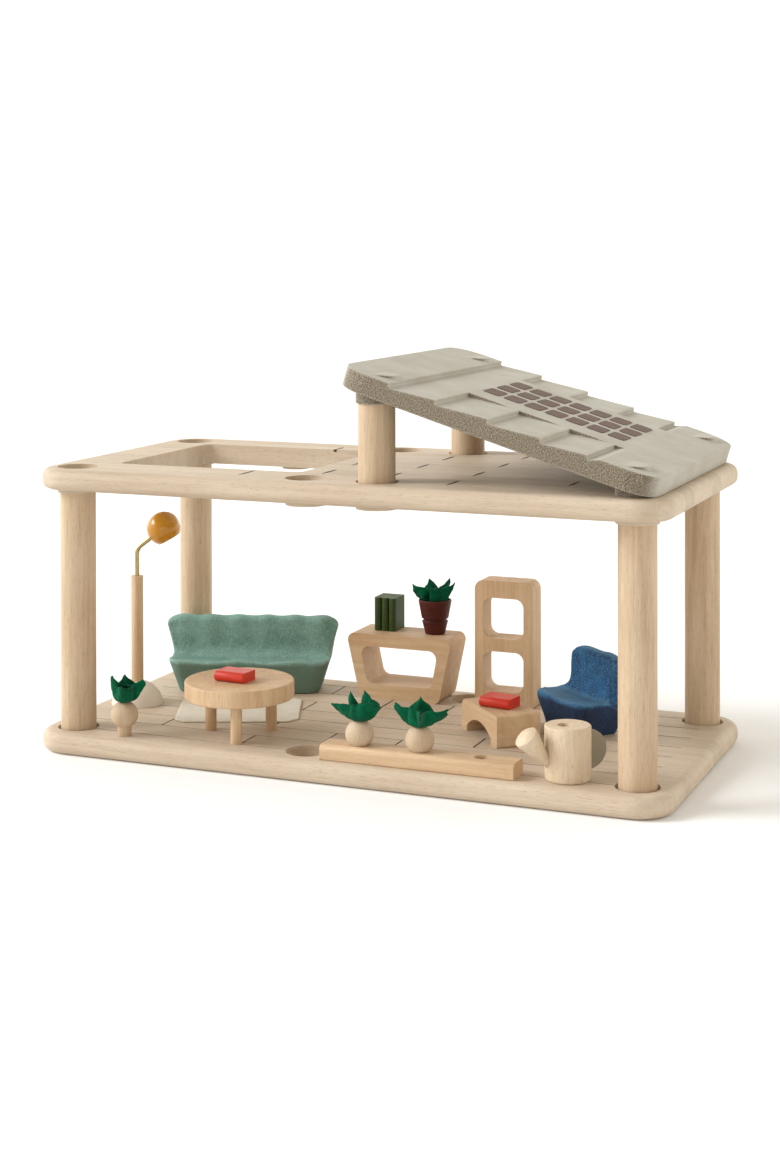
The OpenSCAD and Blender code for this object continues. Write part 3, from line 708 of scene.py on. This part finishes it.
def felt_square(at, reach, corners, ways, seed):
    """Points, faces and side of a felt square pushed in at its middle.

    The corners are (azimuth, rise) of its four tips; ways says if each side between them folds up or down."""
    tips = [toward(*c) for c in corners]
    ring = []
    for k in range(4):
        ring += [tips[k], fold_between(tips[k], tips[(k + 1) % 4], ways[k])]
    ring = np.array(ring)

    def heading(angle):
        """Direction of the felt at an angle round the flat square, 0 at the first tip."""
        t = (angle / (math.pi / 4)) % 8
        k = int(t)
        f = t - k
        p = [ring[(k + i) % 8] for i in (-1, 0, 1, 2)]
        curve = 0.5 * (2 * p[1] + (p[2] - p[0]) * f
                       + (2 * p[0] - 5 * p[1] + 4 * p[2] - p[3]) * f ** 2
                       + (3 * p[1] - p[0] - 3 * p[2] + p[3]) * f ** 3)
        return curve / np.linalg.norm(curve)

    side = reach * math.sqrt(2)
    steps = np.linspace(-0.5, 0.5, FELT_CELLS)
    grid = np.zeros((FELT_CELLS, FELT_CELLS, 3))
    for i, p in enumerate(steps):
        for j, q in enumerate(steps):
            far = math.hypot(p, q) * side
            angle = math.atan2(q, p) - math.pi / 4
            way = heading(angle % (2 * math.pi))
            rise = math.asin(float(np.clip(way[2], -1, 1)))
            level = way[:2] / max(1e-6, np.linalg.norm(way[:2]))
            path = (np.arange(12) + 0.5) / 12 * far
            slope = rise * (0.05 + 1.3 * bump_step(path, 0.1 * reach, 0.5 * reach))
            grid[i, j, :2] = level * np.cos(slope).mean() * far
            grid[i, j, 2] = np.sin(slope).mean() * far
    spots = grid.reshape(-1, 3)
    far = np.linalg.norm(spots, axis=1)[:, None]
    crease = np.stack([lumps(spots, 0.1, seed + k) for k in range(3)], 1)
    wobble = np.stack([lumps(spots, 0.24, seed + 5 + k) for k in range(3)], 1)
    round_it = np.arctan2(spots[:, 1], spots[:, 0])
    push = PLEAT_DEEP * np.sin(PLEATS * round_it + 1.7 * seed + 2 * crease[:, 0])
    pleats = np.column_stack([push * np.cos(round_it), push * np.sin(round_it), 0.3 * push])
    grow = bump_step(far, 0.1 * reach, 0.6 * reach)
    moved = (CREASE_DEEP * crease + WOBBLE_DEEP * wobble + pleats) * grow
    points, faces = padded((spots + moved).reshape(grid.shape))
    return (points + np.array(at)) * MM, faces, side * MM


def add_leaves(node, body, at, reach, corners, ways, seed):
    """The felt leaves of one plant."""
    points, faces, side = felt_square(at, reach, corners, ways, seed)
    piece = add_piece(node + "_felt", mesh_of(node, points, faces), body, "leaf", [node])


# ---------------------------------------------------------------- lamp arm, pot and rug


ARM_R, ARM_SIDES = 2.0, 20
BEND_R, BEND_TURN, BEND_STEPS = 9.0, 53, 12  # the turn is counted from upright
ARM_FOOT, ARM_CORNER, ARM_REACH = 119.9, 156.5, 15.5  # its ends lie inside the pole and the ball
POT_AXIS, POT_FLOOR = 0.2, 21
POT_CORNERS = [(POT_AXIS, 0), (8.9, 0), (11.8, 11.9), (10.4, 12.3), (10.4, 13.9),
               (12.1, 14.4), (15.2, 30.9), (12.9, 31), (11.2, 22), (POT_AXIS, POT_FLOOR)]
POT_RADII = [0, 0.8, 0.5, 0.3, 0.3, 0.5, 0.9, 0.7, 2, 0]
RUG_X, RUG_Y, RUG_CUT, RUG_THICK = 107, 85, 9, 1.2
RUG_EDGE, RUG_CLEAR, RUG_LIFT = 0.25, 0.05, 0.12


def add_lamp_arm():
    """One bent tube, from inside the pole up, round the bend and into the ball."""
    turn = math.radians(BEND_TURN)
    start = ARM_CORNER - BEND_R * math.tan(turn / 2)
    path = [(0.0, z, 0.0) for z in np.linspace(ARM_FOOT, start, 6)]
    for k in range(1, BEND_STEPS + 1):
        a = turn * k / BEND_STEPS
        path.append((BEND_R * (1 - math.cos(a)), start + BEND_R * math.sin(a), a))
    x, z, _ = path[-1]
    for far in np.linspace(2, ARM_REACH, 5):
        path.append((x + far * math.sin(turn), z + far * math.cos(turn), turn))
    points = []
    for x, z, a in path:
        for k in range(ARM_SIDES):
            t = 2 * math.pi * k / ARM_SIDES
            out = ARM_R * math.cos(t)
            points.append((x + out * math.cos(a), ARM_R * math.sin(t), z - out * math.sin(a)))
    mesh = mesh_of("lamp_arm_tube", np.array(points) * MM, closed_faces(len(path), ARM_SIDES))
    mesh.transform(placed(LAMP_AT, LAMP_TURN))
    add_piece("lamp_arm_bent", mesh, "lamp", "brass", ["lamp_arm"])


def add_pot():
    """Turned pot: two flared drums with a groove between them and a hollow top."""
    profile = spread(rounded(POT_CORNERS, POT_RADII), 0.4)

    def nearest(height):
        return int(np.argmin(np.hypot(profile[:, 0] - POT_AXIS, profile[:, 1] - height)))

    profile = np.roll(profile, -nearest(0), axis=0)
    points, faces = lathe(profile[: nearest(POT_FLOOR) + 1], POT_AT, 96)
    mesh = mesh_of("pot_turned", points, faces)
    add_piece("flower_pot_turned", mesh, "pot", "brown", ["flower_pot"])


def add_rug():
    """Felt rectangle with cut corners, lying almost flat."""
    x, y, cut = RUG_X / 2, RUG_Y / 2, RUG_CUT
    corners = [(cut - x, -y), (x - cut, -y), (x, cut - y), (x, y - cut),
               (x - cut, y), (cut - x, y), (-x, y - cut), (-x, cut - y)]
    outline = spread(rounded(corners, [0.8] * 8, 3), 2.0)

    def level(size, height):
        return np.column_stack([outline * size, np.full(len(outline), height)])

    inward = np.append(np.linspace(0.02, 0.97, 26), 0.992)
    rows = [level(k, RUG_THICK) for k in inward] + [level(1, RUG_THICK - RUG_EDGE), level(1, RUG_EDGE)]
    rows += [level(k, 0.0) for k in inward[::-1]]
    points = np.vstack(rows)
    lift = RUG_LIFT * (1 + lumps(points * (1, 1, 0), 0.07, 7)) * bump_step(np.abs(points[:, 0]) / x, 0.6, 1)
    points[:, 2] += lift + RUG_CLEAR
    mesh = mesh_of("rug_laid", points * MM, closed_faces(len(rows), len(outline)))
    mesh.transform(placed(RUG_AT, LAMP_TURN))
    piece = add_piece("rug_felted", mesh, "rug", "rug", ["rug"])


# ---------------------------------------------------------------- CAD parts and the floor


WELD_WITHIN, BEVEL_STEPS, BEVEL_ABOVE = 0.01, 3, 32  # only edges turned by more than this are rounded
ROOF_VOXEL, ROOF_ROUNDS, ROOF_KEPT = 0.65, 3, 0.3
FLOOR_REACH = 6.0  # metres


def round_edges(node, width):
    """Small rounds on the sharp edges of a CAD part."""
    weld = node.modifiers.new("weld", "WELD")
    weld.merge_threshold = WELD_WITHIN * MM
    bevel = node.modifiers.new("bevel", "BEVEL")
    bevel.width = width * MM
    bevel.segments = BEVEL_STEPS
    bevel.limit_method = "ANGLE"
    bevel.angle_limit = math.radians(BEVEL_ABOVE)
    bevel.harden_normals = True


def soften_roof(board):
    """The roof board came out of a mould, so all its edges are soft."""
    add_melt(board, ROOF_VOXEL * MM, ROOF_ROUNDS).use_smooth_shade = True
    board.modifiers.new("thin", "DECIMATE").ratio = ROOF_KEPT


def lay_floor():
    """The white paper that everything stands on."""
    r = FLOOR_REACH
    mesh = mesh_of("floor", [(-r, -r, 0), (r, -r, 0), (r, r, 0), (-r, r, 0)], [(0, 1, 2, 3)])
    mesh.materials.append(painted("floor_paper", PAPER_PALE, PAPER_DARK, 0.9))
    link("floor", mesh)


# ---------------------------------------------------------------- the scene

make_camera()
make_studio()

finishes = {
    "deck": wood("deck_wood", "X", DECK_PALE, DECK_DARK, streak=0.35, planked=BASE_TOP),
    "upper": wood("upper_deck_wood", "X", DECK_PALE, DECK_DARK, streak=0.35, planked=UPPER_TOP),
    "post": wood("post_wood", "Z", POST_PALE, POST_DARK, streak=0.6),
    "block": wood("block_wood", "X", BLOCK_PALE, BLOCK_DARK),
    "standing": wood("standing_wood", "Z", BLOCK_PALE, BLOCK_DARK, streak=0.6),
    "turned": wood("side_table_wood", "X", BLOCK_PALE, BLOCK_DARK, turn=-132.9),
    "cream": wood("pale_wood", "Z", CREAM_PALE, CREAM_DARK, streak=0.45),
    # the can's brighter copy of the pale wood: painted light
    "can": wood("can_wood_lit", "Z", CAN_LIT_PALE, CAN_LIT_DARK, streak=0.45),
    "roof": roof_composite(),
    "cell": painted("cell_print", linear(98, 74, 64), linear(80, 58, 50), 0.6),
    "white": painted("lamp_white", linear(226, 217, 204), linear(216, 205, 190), 0.6),
    "brass": brushed_brass(),
    "yellow": painted("shade_yellow", linear(190, 132, 12), linear(172, 110, 8), 0.3, 0.6),
    "rug": felt("rug_felt", linear(216, 209, 194), linear(200, 191, 174)),
    "teal": moulded("sofa_teal", linear(116, 152, 141), linear(156, 182, 168), linear(94, 130, 120),
                    scale=620, below=47, low=linear(92, 112, 98)),
    "blue": moulded("chair_blue", linear(34, 88, 134), linear(92, 142, 174), linear(18, 50, 90),
                    scale=620, below=46.5, low=linear(32, 40, 66), painted_top_light=0.5),
    "red": painted("book_red", linear(200, 58, 40), linear(184, 44, 30), 0.45, 0.1),
    "green": painted("book_green", linear(56, 76, 28), linear(42, 58, 20), 0.55),
    "brown": painted("pot_brown", linear(82, 30, 20), linear(60, 18, 11), 0.5),
    "leaf": felt("leaf_felt", linear(0, 98, 63), linear(0, 50, 32)),
    "grey": moulded("handle_grey", linear(150, 144, 126), linear(162, 156, 138), linear(136, 130, 112),
                    scale=900),
}

FINISH_OF = {
    "base_deck": "deck", "upper_deck": "upper", "roof_panel": "roof", "roof_cells": "cell",
    "lamp_base": "white", "lamp_pole": "standing", "lamp_arm": "brass", "lamp_shade": "yellow",
    "rug": "rug", "sofa": "teal", "armchair": "blue", "green_books": "green", "flower_pot": "brown",
    "can_handle": "grey", "can_body": "can", "can_spout": "can", "bookshelf": "standing",
    "table_top": "standing", "table_leg_1": "standing", "table_leg_2": "standing", "table_leg_3": "standing",
    "side_table": "turned", "console": "block", "planter": "block",
    "plant_1": "cream", "plant_2": "cream", "loose_plant": "cream",
    "book_on_round_table": "red", "book_on_side_table": "red",
}
BEVEL_OF = {  # widths in millimetres
    "console": 1.2, "bookshelf": 1.2, "side_table": 1.5, "planter": 0.8, "can_body": 0.5,
    "green_books": 0.5, "book_on_round_table": 0.6, "book_on_side_table": 0.6, "table_top": 0.4,
    "lamp_base": 1.0, "lamp_pole": 0.5, "plant_1": 0.5, "plant_2": 0.5, "loose_plant": 0.5,
    "can_spout": 0.5, "can_handle": 0.4,
    "table_leg_1": 0.4, "table_leg_2": 0.4, "table_leg_3": 0.4, "lamp_shade": 0.8,
}
for name, node in nodes.items():
    kind = FINISH_OF.get(name) or ("post" if "post" in name else "leaf")
    node.data.materials.clear()
    node.data.materials.append(finishes[kind])
    if name in BEVEL_OF:
        round_edges(node, BEVEL_OF[name])
soften_roof(nodes["roof_panel"])

add_seat("sofa", (-160.8, 45.6, 18), 18.5, (64.5, 74.5, 72.5, 80, 30.5, 64.6), "teal", 1)
add_seat("armchair", (138.6, 21.1, 18), -38.5, (28, 37.5, 30, 31.5, 30, 66), "blue", 2,
         wave=0.4, lean=2.5)
add_lamp_arm()
add_pot()
add_rug()

add_leaves("plant_1_leaves", "plant_1", (19.5, -116, 50.2), 28,
           [(186, 27), (142, 52), (96, 58), (-24, 46)], [-1, -1, -1, 1], 1)
add_leaves("plant_2_leaves", "plant_2", (71, -116, 50.2), 28,
           [(200, 44), (110, 52), (14, 30), (290, 30)], [-1, -1, 1, 1], 2)
add_leaves("loose_plant_leaves", "loose_plant", (-193.2, -119.5, 46.8), 27,
           [(186, 66), (110, 64), (16, 50), (290, 44)], [-1, -1, 1, 1], 3)
add_leaves("pot_leaves", "pot", (1.2, 101.3, 103), 29,
           [(193, 38), (128, 50), (58, 56), (14, 50)], [-1, -1, 1, 1], 4)

lay_floor()
